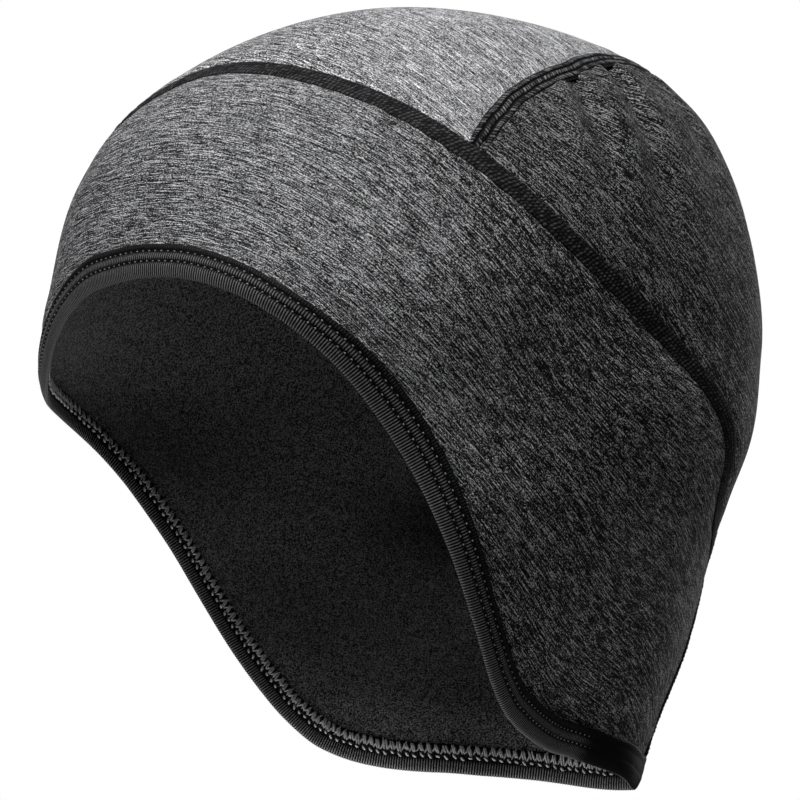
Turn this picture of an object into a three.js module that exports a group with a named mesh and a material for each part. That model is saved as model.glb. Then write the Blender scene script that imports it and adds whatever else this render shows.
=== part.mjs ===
// Skull cap with ear flaps: heather knit outside, brushed fleece inside, flatlock seams and a folded
// elastic binding round the whole lower edge. Millimetres, +Z up, the face towards -Y and the wearer's
// left towards +X. The origin is the inside of the crown, where the head carries the cap.
//
// Places on the cap are given by two angles. "turn" goes round the head in degrees: 0 is the middle of
// the face, 90 the left ear, 180 the nape, and minus values are the wearer's right. "climb" goes up the
// wall: 0 is the widest level, 90 the top of the crown, and below 0 it counts straight down.
import * as THREE from 'three';
import { mergeVertices } from 'three/addons/utils/BufferGeometryUtils.js';

// Driving sizes
const crownHeight = 93.5; // outside of the crown above the widest level
const knit = 1.0; // thickness of the outer fabric
const fleece = 1.0; // thickness of the lining
const layerGap = 0.5; // between the outer fabric and the lining
const seatGap = 0.35; // between other pieces that touch on the real cap
const seamWidth = 5.5; // flatlock seams
const seamHeight = 0.8;
const backSeamWidth = 3.0;
const bindingWidth = 9.5; // outside leg of the folded binding
const bindingInside = 9.0; // inside leg
const bindingTape = 1.0; // thickness of the tape
const panelGap = 0.2; // from the middle of a seam to the cut edge of each panel

// How finely the walls are divided: columns in front of the cross seam's ends and on each side behind
// them, and rows of the band, of the back panel and from the cross seam to the top
const frontColumns = 22;
const backColumns = 19;
const bandRows = 6;
const backRows = 5;
const topRows = 5;
const backSeamRows = 8;

// Depths below the outer face of the fabric
const liningTop = knit + layerGap;
const liningBottom = liningTop + fleece;
const bindingInner = liningBottom + seatGap;
const bindingDepth = bindingInner + bindingTape;

// Horizontal sections: the distance from the head's axis to the outer face, towards five sides. Above the
// widest level they are the radii of the ellipse that the wall follows up to the crown. The back seam
// draws the nape to a soft ridge.
const sections = [
  { climb: -75, front: 82.5, frontQuarter: 66.0, side: 41.0, backQuarter: 35.5, back: 48.5, ridge: 3.5 },
  { climb: -60, front: 85.5, frontQuarter: 71.5, side: 48.0, backQuarter: 43.5, back: 59.5, ridge: 3.5 },
  { climb: -45, front: 89.5, frontQuarter: 80.0, side: 60.0, backQuarter: 57.0, back: 71.5, ridge: 2.5 },
  { climb: -30, front: 92.5, frontQuarter: 84.5, side: 72.0, backQuarter: 70.0, back: 79.5, ridge: 0 },
  { climb: -15, front: 96.0, frontQuarter: 92.5, side: 76.5, backQuarter: 81.5, back: 88.0, ridge: 0 },
  { climb: 0, front: 96.0, frontQuarter: 98.0, side: 79.5, backQuarter: 85.5, back: 93.5, ridge: 0 },
  { climb: 15, front: 97.5, frontQuarter: 95.5, side: 82.5, backQuarter: 88.5, back: 97.5, ridge: 0 },
  { climb: 30, front: 102.0, frontQuarter: 96.0, side: 86.0, backQuarter: 94.0, back: 102.0, ridge: 0 },
  { climb: 45, front: 104.0, frontQuarter: 96.0, side: 86.5, backQuarter: 101.0, back: 106.0, ridge: 0 },
  { climb: 60, front: 102.5, frontQuarter: 96.5, side: 88.5, backQuarter: 102.5, back: 107.0, ridge: 0 },
  { climb: 75, front: 99.5, frontQuarter: 96.5, side: 92.0, backQuarter: 99.5, back: 103.5, ridge: 0 },
  { climb: 90, front: 96.0, frontQuarter: 96.0, side: 96.0, backQuarter: 96.0, back: 96.0, ridge: 0 },
];
const sectionSides = ['front', 'frontQuarter', 'side', 'backQuarter', 'back'];
const ridgeSpread = 14; // degrees either side of the back seam

// Free edge of the binding: brow, front edge of the ear flap, flap corner, lower edge and nape
const hem = [
  { turn: 0, height: 12.8 },
  { turn: 10, height: 13.0 },
  { turn: 20, height: 12.2 },
  { turn: 30, height: 8.8 },
  { turn: 40, height: 1.5 },
  { turn: 50, height: -13.3 },
  { turn: 60, height: -38.5 },
  { turn: 65, height: -54.5 },
  { turn: 70, height: -73.0 },
  { turn: 75, height: -87.2 },
  { turn: 82, height: -96.3 },
  { turn: 97, height: -101.8 },
  { turn: 125, height: -104.4 },
  { turn: 150, height: -107.8 },
  { turn: 180, height: -111.5 },
];
// The soft brow hangs a little lower on the wearer's right, and draws the seam above it down with it
const browSag = { turn: -22, depth: 13, reach: 30 };
const seamSag = { turn: -22, depth: 9, reach: 45 };

// Seam between the band and the crown: high over the forehead, low at the back
const crownSeam = [
  { turn: 0, height: 70.0 },
  { turn: 15, height: 69.3 },
  { turn: 30, height: 66.8 },
  { turn: 45, height: 60.8 },
  { turn: 60, height: 51.0 },
  { turn: 75, height: 35.6 },
  { turn: 90, height: 18.3 },
  { turn: 105, height: 4.4 },
  { turn: 120, height: -9.3 },
  { turn: 135, height: -24.6 },
  { turn: 150, height: -39.5 },
  { turn: 165, height: -49.0 },
  { turn: 180, height: -52.5 },
];

// Seam across the crown, from the crown seam on one side over the back of the top to the other side
const crossSeamStart = 73;
const crossSeam = [
  { turn: 73, height: 38.0 },
  { turn: 77, height: 45.8 },
  { turn: 80, height: 50.1 },
  { turn: 84, height: 54.5 },
  { turn: 88, height: 58.0 },
  { turn: 93, height: 61.2 },
  { turn: 100, height: 64.6 },
  { turn: 109, height: 68.8 },
  { turn: 121, height: 72.3 },
  { turn: 150, height: 74.5 },
  { turn: 180, height: 75.0 },
];
const crossThreadStart = 75.6; // turn where the cross seam's thread stops beside the crown seam

const radians = THREE.MathUtils.degToRad;
const degrees = THREE.MathUtils.radToDeg;

// A smooth line through the rows of a table. A line that reaches the middle of the face or of the nape
// is level there.
function smoothColumn(table, input, output, x) {
  const last = table.length - 1;
  let row = 0;
  while (row < last - 1 && x > table[row + 1][input]) {
    row += 1;
  }
  const slope = (k) => {
    const atEnd = k === 0 || k === last;
    if (atEnd && input === 'turn' && table[k].turn % 180 === 0) {
      return 0;
    }
    const before = table[Math.max(k - 1, 0)];
    const after = table[Math.min(k + 1, last)];
    return (after[output] - before[output]) / (after[input] - before[input]);
  };
  const low = table[row];
  const high = table[row + 1];
  const span = high[input] - low[input];
  const t = THREE.MathUtils.clamp((x - low[input]) / span, 0, 1);
  const rise = high[output] - low[output];
  const ease = t * t * (3 - 2 * t);
  const bendLow = t * (1 - t) * (1 - t) * span * slope(row);
  const bendHigh = t * t * (t - 1) * span * slope(row + 1);
  return low[output] + ease * rise + bendLow + bendHigh;
}

// The five sides of a section joined by a cosine series, alike on the left and the right
function roundSection(values, turn) {
  const last = values.length - 1;
  const halfAtEnds = (k) => (k === 0 || k === last ? 0.5 : 1);
  let radius = 0;
  for (let wave = 0; wave <= last; wave += 1) {
    let share = 0;
    for (let k = 0; k <= last; k += 1) {
      share += halfAtEnds(k) * values[k] * Math.cos((Math.PI * k * wave) / last);
    }
    radius += halfAtEnds(wave) * (2 / last) * share * Math.cos(wave * radians(turn));
  }
  return radius;
}

function heightOf(climb) {
  return climb > 0 ? crownHeight * Math.sin(radians(climb)) : crownHeight * radians(climb);
}

function climbOf(height) {
  return height > 0 ? degrees(Math.asin(height / crownHeight)) : degrees(height / crownHeight);
}

// The turn as it counts on either side of the head, from 0 in front to 180 at the back
function foldedTurn(turn) {
  return Math.abs(((turn + 540) % 360) - 180);
}

// A point on the outer face of the fabric
function outerPoint(turn, climb) {
  const values = sectionSides.map((side) => smoothColumn(sections, 'climb', side, climb));
  const fromBack = 180 - foldedTurn(turn);
  const ridge = smoothColumn(sections, 'climb', 'ridge', climb) * Math.exp(-fromBack / ridgeSpread);
  const spread = climb > 0 ? Math.cos(radians(climb)) : 1;
  const radius = (roundSection(values, turn) + ridge) * spread;
  const angle = radians(turn);
  return new THREE.Vector3(radius * Math.sin(angle), -radius * Math.cos(angle), heightOf(climb));
}

// The directions along the wall for one degree of turn and one degree of climb
function wallSteps(turn, climb) {
  const half = 0.5;
  const top = Math.min(climb, 90 - half);
  const across = outerPoint(turn + half, top).sub(outerPoint(turn - half, top));
  const up = outerPoint(turn, top + half).sub(outerPoint(turn, top - half));
  return { across, up };
}

// A point of the wall at a depth below the outer face
function wallPoint(place, depth) {
  if (place.climb > 89.9) {
    return new THREE.Vector3(0, 0, crownHeight - depth);
  }
  const { across, up } = wallSteps(place.turn, place.climb);
  const outward = across.cross(up).normalize();
  return outerPoint(place.turn, place.climb).addScaledVector(outward, -depth);
}

function sagAt(sag, turn) {
  const away = Math.min(Math.abs(turn - sag.turn) / sag.reach, 1);
  return sag.depth * Math.cos((Math.PI / 2) * away) ** 2;
}

function hemLine(turn) {
  const height = smoothColumn(hem, 'turn', 'height', foldedTurn(turn)) - sagAt(browSag, turn);
  return { turn, climb: climbOf(height) };
}

function crownSeamLine(turn) {
  const height = smoothColumn(crownSeam, 'turn', 'height', foldedTurn(turn)) - sagAt(seamSag, turn);
  return { turn, climb: climbOf(height) };
}

function crossSeamLine(turn) {
  return { turn, climb: climbOf(smoothColumn(crossSeam, 'turn', 'height', foldedTurn(turn))) };
}

// The place at a distance square to a line, measured along the wall. Plus is above the line.
function besideLine(line, turn, distance) {
  const place = line(turn);
  const step = 0.25;
  const before = line(turn - step);
  const after = line(turn + step);
  const along = outerPoint(after.turn, after.climb).sub(outerPoint(before.turn, before.climb)).normalize();
  const { across, up } = wallSteps(place.turn, place.climb);
  const outward = across.clone().cross(up).normalize();
  const side = outward.clone().cross(along).multiplyScalar(distance);
  const aa = across.dot(across);
  const uu = up.dot(up);
  const au = across.dot(up);
  const scale = aa * uu - au * au;
  const turnStep = (side.dot(across) * uu - side.dot(up) * au) / scale;
  const climbStep = (side.dot(up) * aa - side.dot(across) * au) / scale;
  return { turn: place.turn + turnStep, climb: place.climb + climbStep };
}

// Turns at even distances along a line on the wall, without the last one
function evenTurns(line, from, to, count) {
  const samples = 720;
  const lengths = [0];
  const turnAt = (k) => from + ((to - from) * k) / samples;
  let last = wallPoint(line(turnAt(0)), 0);
  for (let k = 1; k <= samples; k += 1) {
    const next = wallPoint(line(turnAt(k)), 0);
    lengths.push(lengths[k - 1] + next.distanceTo(last));
    last = next;
  }
  const turns = [];
  for (let i = 0; i < count; i += 1) {
    const target = (lengths[samples] * i) / count;
    let k = 1;
    while (lengths[k] < target) {
      k += 1;
    }
    const share = (target - lengths[k - 1]) / (lengths[k] - lengths[k - 1]);
    turns.push(turnAt(k - 1 + share));
  }
  return turns;
}

// Places in even rows from one place of the wall to another
function rowsBetween(low, high, rows) {
  const places = [];
  for (let row = 0; row <= rows; row += 1) {
    places.push({
      turn: THREE.MathUtils.lerp(low.turn, high.turn, row / rows),
      climb: THREE.MathUtils.lerp(low.climb, high.climb, row / rows),
    });
  }
  return places;
}

// Joins closed outlines, one after another, into one closed body. A ring joins its last outline to its
// first; otherwise the first and the last outline are filled. An outline runs up the outer face of the
// wall and back down the inner face, and both faces are split along the same diagonals. Where two
// outlines share a point, the flat triangles there are left out.
function bodyFromOutlines(outlines, ring) {
  const count = outlines[0].length;
  const points = outlines.flat();
  const at = (i, j) => (i % outlines.length) * count + (j % count);
  const indices = [];
  const addTriangle = (a, b, c) => {
    const tiny = 1e-4;
    const sides = [
      [a, b],
      [b, c],
      [c, a],
    ];
    if (sides.every(([from, to]) => points[from].distanceTo(points[to]) > tiny)) {
      indices.push(a, b, c);
    }
  };
  const spans = ring ? outlines.length : outlines.length - 1;
  for (let i = 0; i < spans; i += 1) {
    for (let j = 0; j < count; j += 1) {
      if (j < count / 2) {
        addTriangle(at(i, j), at(i + 1, j), at(i + 1, j + 1));
        addTriangle(at(i, j), at(i + 1, j + 1), at(i, j + 1));
      } else {
        addTriangle(at(i, j), at(i + 1, j), at(i, j + 1));
        addTriangle(at(i + 1, j), at(i + 1, j + 1), at(i, j + 1));
      }
    }
  }
  if (!ring) {
    const end = outlines.length - 1;
    for (let j = 0; j < count / 2 - 1; j += 1) {
      const back = count - 1 - j;
      addTriangle(at(0, j), at(0, j + 1), at(0, back - 1));
      addTriangle(at(0, j), at(0, back - 1), at(0, back));
      addTriangle(at(end, j), at(end, back - 1), at(end, j + 1));
      addTriangle(at(end, j), at(end, back), at(end, back - 1));
    }
  }
  const geometry = new THREE.BufferGeometry();
  const positions = points.flatMap((point) => point.toArray());
  geometry.setAttribute('position', new THREE.Float32BufferAttribute(positions, 3));
  geometry.setIndex(indices);
  return mergeVertices(geometry, 1e-4);
}

// One sheet of cloth: each column is a list of places from its lower edge to its upper edge
function sheet(columns, top, bottom, ring) {
  const outlines = columns.map((places) => {
    const outer = places.map((place) => wallPoint(place, top));
    const inner = places.map((place) => wallPoint(place, bottom)).reverse();
    return [...outer, ...inner];
  });
  return bodyFromOutlines(outlines, ring);
}

// A flat strip of thread along a seam, lying on the outer face
function seamStrip(line, turns, ring) {
  const half = seamWidth / 2;
  const columns = turns.map((turn) => [besideLine(line, turn, -half), besideLine(line, turn, half)]);
  return sheet(columns, -seatGap - seamHeight, -seatGap, ring);
}

// All the pieces share these columns, which start and end at the nape and pass through the two places
// where the cross seam meets the crown seam
const seamTurns = [
  ...evenTurns(crownSeamLine, -180, -crossSeamStart, backColumns),
  ...evenTurns(crownSeamLine, -crossSeamStart, crossSeamStart, frontColumns),
  ...evenTurns(crownSeamLine, crossSeamStart, 180, backColumns),
];
const hemTurns = evenTurns(hemLine, -180, 180, seamTurns.length);
const seamPlaces = seamTurns.map(crownSeamLine);
const crossPlaces = seamTurns.map((turn) =>
  foldedTurn(turn) > crossSeamStart ? crossSeamLine(turn) : crownSeamLine(turn),
);

function shifted(place, distance) {
  return { turn: place.turn, climb: place.climb + degrees(distance / crownHeight) };
}

// Each column of the band, from the cut edge inside the binding up to the crown seam
function bandColumn(i) {
  const edge = besideLine(hemLine, hemTurns[i], bindingTape + seatGap);
  const fold = besideLine(hemLine, hemTurns[i], bindingWidth);
  return [edge, ...rowsBetween(fold, shifted(seamPlaces[i], -panelGap), bandRows)];
}

function sideBand() {
  const columns = seamTurns.map((turn, i) => bandColumn(i));
  return sheet(columns, 0, knit, true);
}

function topColumn(i, gap) {
  return rowsBetween(shifted(crossPlaces[i], gap), { turn: seamTurns[i], climb: 90 }, topRows);
}

function frontCrownPanel() {
  const columns = seamTurns.map((turn, i) => topColumn(i, panelGap));
  return sheet(columns, 0, knit, true);
}

// The back panel runs to a point under each end of the cross seam
function backCrownPanel() {
  const inOrder = [...seamTurns.keys()].slice(backColumns + frontColumns);
  const rightSide = [...seamTurns.keys()].slice(0, backColumns + 1);
  const columns = [...inOrder, ...rightSide].map((i) => {
    const atTip = foldedTurn(seamTurns[i]) - crossSeamStart < 0.001;
    const gap = atTip ? 0 : panelGap;
    return rowsBetween(shifted(seamPlaces[i], gap), shifted(crossPlaces[i], -gap), backRows);
  });
  return sheet(columns, 0, knit, false);
}

function liningSheet() {
  const columns = seamTurns.map((turn, i) => {
    const behind = rowsBetween(seamPlaces[i], crossPlaces[i], backRows).slice(1);
    return [...bandColumn(i).slice(0, -1), seamPlaces[i], ...behind, ...topColumn(i, 0).slice(1)];
  });
  return sheet(columns, liningTop, liningBottom, true);
}

function crossSeamThread() {
  const behind = (turn) => turn > crossThreadStart + 1;
  const leftSide = seamTurns.filter(behind);
  const rightSide = seamTurns.filter((turn) => behind(-turn)).map((turn) => turn + 360);
  return seamStrip(
    crossSeamLine,
    [crossThreadStart, ...leftSide, ...rightSide, 360 - crossThreadStart],
    false,
  );
}

function backSeamThread() {
  const low = besideLine(hemLine, 180, bindingWidth + seatGap);
  const high = besideLine(crownSeamLine, 180, -seamWidth / 2 - seatGap);
  const columns = rowsBetween(low, high, backSeamRows).map(({ climb }) => {
    const half = backSeamWidth / 2 / wallSteps(180, climb).across.length();
    return [180 + half, 180, 180 - half].map((turn) => ({ turn, climb }));
  });
  return sheet(columns, -seatGap - seamHeight, -seatGap, false);
}

// The binding folded over the edge: an outside leg, the fold and an inside leg
function foldedBinding() {
  const fold = 0.8;
  const outside = -seatGap - bindingTape;
  const profile = [
    { up: bindingWidth, depth: -seatGap },
    { up: bindingTape, depth: -seatGap },
    { up: bindingTape, depth: bindingInner },
    { up: bindingInside, depth: bindingInner },
    { up: bindingInside, depth: bindingDepth },
    { up: fold, depth: bindingDepth },
    { up: 0, depth: bindingDepth - fold },
    { up: 0, depth: outside + fold },
    { up: fold, depth: outside },
    { up: bindingWidth, depth: outside },
  ];
  const outlines = hemTurns.map((turn) =>
    profile.map(({ up, depth }) => wallPoint(besideLine(hemLine, turn, up), depth)),
  );
  return bodyFromOutlines(outlines, true);
}

function cloth(color, roughness) {
  return new THREE.MeshStandardMaterial({ color, roughness, metalness: 0 });
}

const pieces = [
  { name: 'side_band', geometry: sideBand(), material: cloth('#5d5e60', 0.95) },
  { name: 'crown_front', geometry: frontCrownPanel(), material: cloth('#66676a', 0.95) },
  { name: 'crown_back', geometry: backCrownPanel(), material: cloth('#3f4042', 0.95) },
  { name: 'crown_seam', geometry: seamStrip(crownSeamLine, seamTurns, true), material: cloth('#1d1d1f', 0.8) },
  { name: 'cross_seam', geometry: crossSeamThread(), material: cloth('#1d1d1f', 0.8) },
  { name: 'back_seam', geometry: backSeamThread(), material: cloth('#1d1d1f', 0.8) },
  { name: 'fleece_lining', geometry: liningSheet(), material: cloth('#18181a', 1) },
  { name: 'edge_binding', geometry: foldedBinding(), material: cloth('#232325', 0.7) },
];

// The walls are drawn from the widest level, and the whole cap is set so that the inside of the crown
// is the origin
const group = new THREE.Group();
group.position.z = -(crownHeight - liningBottom);
for (const piece of pieces) {
  const mesh = new THREE.Mesh(piece.geometry, piece.material);
  mesh.name = piece.name;
  group.add(mesh);
}

export default group;
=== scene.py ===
"""Skull cap with ear flaps: the finish of every piece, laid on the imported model.

Sizes are in millimetres and turned into metres where a mesh is made. The face looks towards -Y and the
wearer's left towards +X. A place on the cap is a "turn" round the head in degrees (0 the middle of the
face, 90 the left ear, 180 the nape) and a "climb" up the wall (0 the widest level, 90 the top).
"""
import math

import bpy
import numpy as np
from mathutils import Matrix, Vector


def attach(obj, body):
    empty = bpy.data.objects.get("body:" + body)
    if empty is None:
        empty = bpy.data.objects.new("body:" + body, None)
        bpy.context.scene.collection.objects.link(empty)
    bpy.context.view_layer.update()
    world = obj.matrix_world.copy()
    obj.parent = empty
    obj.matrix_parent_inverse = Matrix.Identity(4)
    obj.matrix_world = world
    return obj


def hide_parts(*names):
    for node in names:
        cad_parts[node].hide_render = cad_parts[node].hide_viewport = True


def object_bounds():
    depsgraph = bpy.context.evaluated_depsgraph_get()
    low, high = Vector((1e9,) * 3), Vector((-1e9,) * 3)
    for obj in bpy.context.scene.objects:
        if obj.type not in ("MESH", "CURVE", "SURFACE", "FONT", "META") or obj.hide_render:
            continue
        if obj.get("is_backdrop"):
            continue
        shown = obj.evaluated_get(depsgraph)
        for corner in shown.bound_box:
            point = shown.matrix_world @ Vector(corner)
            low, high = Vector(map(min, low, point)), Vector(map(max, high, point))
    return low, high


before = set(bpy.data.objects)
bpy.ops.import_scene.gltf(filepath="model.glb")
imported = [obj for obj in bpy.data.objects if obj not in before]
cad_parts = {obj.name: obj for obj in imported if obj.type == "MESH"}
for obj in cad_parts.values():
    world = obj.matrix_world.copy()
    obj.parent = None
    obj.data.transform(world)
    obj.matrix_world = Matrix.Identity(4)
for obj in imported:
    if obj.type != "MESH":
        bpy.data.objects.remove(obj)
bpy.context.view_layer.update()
bpy.ops.object.select_all(action="DESELECT")


# Side band
# One long cut of brushed heather stretch knit that runs over the forehead, down over both ears and round
# the nape. It is cut on the grain, so its streaks run along it, and it is closed at the centre back.
crown_height = 93.5
knit = 1.0
layer_gap = 0.5
fleece = 1.0
lining_inside = knit + layer_gap + fleece
metres = 0.001
lift = -(crown_height - lining_inside)
binding_width = 9.5
hidden_edge = 4.0
panel_gap = 0.2
band_columns = 540
band_rows = 60
rows_in_binding = 4


def named_rows(columns, rows):
    return dict(zip(columns, np.array(rows, float).T))


# Distance from the head's axis to the outer face, towards five sides, and the soft ridge at the nape
sections = named_rows(
    ("climb", "front", "front_quarter", "side", "back_quarter", "back", "ridge"),
    [
        (-75, 82.5, 66.0, 41.0, 35.5, 48.6, 7.4),
        (-60, 85.5, 71.5, 48.0, 43.4, 58.1, 6.7),
        (-45, 89.5, 80.0, 60.0, 56.0, 69.7, 7.9),
        (-30, 92.5, 84.5, 72.0, 66.3, 79.6, 6.0),
        (-15, 96.0, 92.5, 76.5, 82.1, 88.0, 0),
        (0, 96.0, 98.0, 79.5, 85.5, 93.5, 0),
        (15, 97.5, 95.5, 82.5, 88.5, 97.5, 0),
        (30, 102.0, 95.7, 86.0, 94.0, 102.0, 0),
        (45, 104.0, 95.2, 86.5, 101.0, 106.0, 0),
        (60, 102.5, 95.8, 88.5, 102.5, 107.0, 0),
        (75, 99.5, 96.5, 92.0, 99.5, 103.5, 0),
        (90, 96.0, 96.0, 96.0, 96.0, 96.0, 0),
    ],
)
section_sides = ("front", "front_quarter", "side", "back_quarter", "back")
ridge_spread = 6.5
ridge_round = 2.0

# Free edge of the cap, and the seam between the band and the crown, as heights at each turn
hem = named_rows(
    ("turn", "height"),
    [
        (0, 12.8),
        (10, 13.0),
        (20, 12.2),
        (30, 8.8),
        (40, 1.5),
        (50, -13.3),
        (60, -38.5),
        (65, -54.5),
        (70, -73.0),
        (75, -87.2),
        (82, -96.3),
        (97, -101.8),
        (125, -104.4),
        (150, -107.8),
        (180, -111.5),
    ],
)
crown_seam = named_rows(
    ("turn", "height"),
    [
        (0, 70.0),
        (15, 69.3),
        (30, 66.8),
        (45, 60.8),
        (60, 51.0),
        (75, 35.6),
        (90, 18.3),
        (105, 4.4),
        (120, -9.3),
        (135, -24.6),
        (150, -39.5),
        (165, -49.0),
        (180, -52.5),
    ],
)
# The brow hangs a little lower on the wearer's right and draws the seam above it down
brow_sag = {"turn": -24, "depth": 13, "reach": 32}
seam_sag = {"turn": -22, "depth": 9, "reach": 45}
# The edge there also curls in a little
brow_curl = {"turn": -18, "depth": 2.3, "reach": 21}


def smooth_column(table, along, output, x):
    """A smooth line through the rows of a table, level where it reaches the face's middle or the nape."""
    stops, values = table[along], table[output]
    last = len(stops) - 1
    before = np.maximum(np.arange(last + 1) - 1, 0)
    after = np.minimum(np.arange(last + 1) + 1, last)
    slopes = (values[after] - values[before]) / (stops[after] - stops[before])
    if along == "turn":
        slopes[[0, last]] *= stops[[0, last]] % 180 != 0
    row = np.clip(np.searchsorted(stops, x) - 1, 0, last - 1)
    span = stops[row + 1] - stops[row]
    t = np.clip((x - stops[row]) / span, 0, 1)
    ease = t * t * (3 - 2 * t)
    bends = t * (1 - t) ** 2 * slopes[row] - t * t * (1 - t) * slopes[row + 1]
    return values[row] + ease * (values[row + 1] - values[row]) + span * bends


def folded_turn(turn):
    return np.abs((turn + 540) % 360 - 180)


def outer_point(turn, climb):
    """The point on the cap's outer face, in millimetres from the middle of its widest level."""
    turn, climb = np.broadcast_arrays(np.asarray(turn, float), np.asarray(climb, float))
    angle = np.radians(turn)
    from_ridge = np.hypot(180 - folded_turn(turn), ridge_round) - ridge_round
    radius = smooth_column(sections, "climb", "ridge", climb) * np.exp(-from_ridge / ridge_spread)
    last = len(section_sides) - 1
    for k, side in enumerate(section_sides):
        share = 0.0
        for wave in range(last + 1):
            halves = (0.5 if wave in (0, last) else 1.0) * (0.5 if k in (0, last) else 1.0)
            share = share + halves * 2 / last * math.cos(math.pi * k * wave / last) * np.cos(wave * angle)
        radius = radius + share * smooth_column(sections, "climb", side, climb)
    radius = radius - sag_at(brow_curl, turn) * (1 - smooth_step(-6, 9, climb))
    above = np.radians(np.maximum(climb, 0))
    below = np.radians(np.minimum(climb, 0))
    radius = radius * np.cos(above)
    height = crown_height * (np.sin(above) + below)
    return np.stack([radius * np.sin(angle), -radius * np.cos(angle), height], -1)


def wall_steps(turn, climb):
    """The steps along the wall for one degree of turn and one degree of climb."""
    top = np.minimum(climb, 89.5)
    across = outer_point(turn + 0.5, top) - outer_point(turn - 0.5, top)
    up = outer_point(turn, top + 0.5) - outer_point(turn, top - 0.5)
    return across, up


def unit(vectors):
    return vectors / np.linalg.norm(vectors, axis=-1, keepdims=True)


def wall_point(turn, climb, depth=0.0):
    """The point at a depth under the outer face. A minus depth is above it."""
    across, up = wall_steps(turn, climb)
    outward = unit(np.cross(across, up))
    outward = np.where(np.asarray(climb)[..., None] > 89.9, (0.0, 0.0, 1.0), outward)
    return outer_point(turn, climb) - outward * np.asarray(depth)[..., None]


def climb_of(height):
    above = np.degrees(np.arcsin(np.clip(height / crown_height, 0, 1)))
    return np.where(height > 0, above, np.degrees(height / crown_height))


def sag_at(sag, turn):
    away = np.minimum(np.abs(turn - sag["turn"]) / sag["reach"], 1)
    return sag["depth"] * np.cos(math.pi / 2 * away) ** 2


def hem_line(turn):
    return climb_of(smooth_column(hem, "turn", "height", folded_turn(turn)) - sag_at(brow_sag, turn))


def crown_seam_line(turn):
    return climb_of(smooth_column(crown_seam, "turn", "height", folded_turn(turn)) - sag_at(seam_sag, turn))


def beside_line(line, turn, distance):
    """The place at a distance square to a line, measured along the wall. Plus is above the line."""
    climb = line(turn)
    along = unit(outer_point(turn + 0.25, line(turn + 0.25)) - outer_point(turn - 0.25, line(turn - 0.25)))
    across, up = wall_steps(turn, climb)
    outward = unit(np.cross(across, up))
    side = np.cross(outward, along)
    aa, uu, au = (across**2).sum(-1), (up**2).sum(-1), (across * up).sum(-1)
    sa, su = (side * across).sum(-1), (side * up).sum(-1)
    scale = distance / (aa * uu - au * au)
    return turn + (sa * uu - su * au) * scale, climb + (su * aa - sa * au) * scale


def even_turns(line, start, end, count):
    """Turns at even distances along a line on the wall, with both ends, and the line's length."""
    turns = np.linspace(start, end, 2881)
    steps = np.diff(outer_point(turns, line(turns)), axis=0)
    lengths = np.append(0, np.cumsum(np.linalg.norm(steps, axis=1)))
    return np.interp(np.linspace(0, lengths[-1], count + 1), lengths, turns), lengths[-1]


# The crown seam's turns and, at the same columns, the hem's. Each column of cloth joins the two.
cross_seam_start = 73.0
back_share = 19 / 60


def seam_turns(columns):
    behind = round(columns * back_share)
    right, _ = even_turns(crown_seam_line, -180, -cross_seam_start, behind)
    front, _ = even_turns(crown_seam_line, -cross_seam_start, cross_seam_start, columns - 2 * behind)
    left, _ = even_turns(crown_seam_line, cross_seam_start, 180, behind)
    return np.concatenate([right, front[1:], left[1:]])


def blended(low, high, rows):
    """Places in even rows between two lines of places, as columns by rows."""
    share = np.linspace(0, 1, rows + 1)
    return [a[:, None] + (b - a)[:, None] * share for a, b in zip(low, high)]


def climbed(line, turns, distance):
    return turns, line(turns) + np.degrees(distance / crown_height)


def lengths_along(points, axis):
    steps = np.linalg.norm(np.diff(points, axis=axis), axis=-1)
    start = np.zeros_like(np.take(steps, [0], axis=axis))
    return np.concatenate([start, np.cumsum(steps, axis=axis)], axis=axis)


def grain_map(turn, climb, fall, column_step, row_step):
    """Lengths along and across the streaks of the knit at every point of a sheet, in millimetres.

    Fall is how far the streaks drop below level towards the nape, in degrees. The lengths come from a least
    squares fit on every few columns and rows, so that they stay true although the sheet is curved.
    """
    coarse = (slice(None, None, column_step), slice(None, None, row_step))
    points = outer_point(turn, climb)[coarse]
    across, up = wall_steps(turn[coarse], climb[coarse])
    across = unit(across)
    up = np.cross(unit(np.cross(across, up)), across)
    drop = np.radians(fall[coarse])[..., None]
    directions = np.cos(drop) * across - np.sin(drop) * up, np.sin(drop) * across + np.cos(drop) * up
    columns, rows = points.shape[:2]
    index = np.arange(columns * rows).reshape(columns, rows)
    starts = np.concatenate([index[:-1].ravel(), index[:, :-1].ravel()])
    ends = np.concatenate([index[1:].ravel(), index[:, 1:].ravel()])
    points = points.reshape(-1, 3)
    step = points[ends] - points[starts]
    length = np.linalg.norm(step, axis=1)
    edges = np.arange(len(starts))
    matrix = np.zeros((len(starts) + 1, columns * rows))
    matrix[edges, ends] = 1 / length
    matrix[edges, starts] = -1 / length
    matrix[-1, columns // 2 * rows] = 1
    goals = np.zeros((len(starts) + 1, 2))
    for k, direction in enumerate(directions):
        direction = direction.reshape(-1, 3)
        goals[:-1, k] = (step * (direction[starts] + direction[ends])).sum(1) / 2 / length
    found = np.linalg.lstsq(matrix, goals, rcond=None)[0].reshape(columns, rows, 2)
    for axis in (0, 1):
        stops = np.linspace(0, 1, found.shape[axis])
        places = np.linspace(0, 1, turn.shape[axis])
        found = np.apply_along_axis(lambda line: np.interp(places, stops, line), axis, found)
    return found


def smooth_step(low, high, x):
    t = np.clip((x - low) / (high - low), 0, 1)
    return t * t * (3 - 2 * t)


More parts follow.
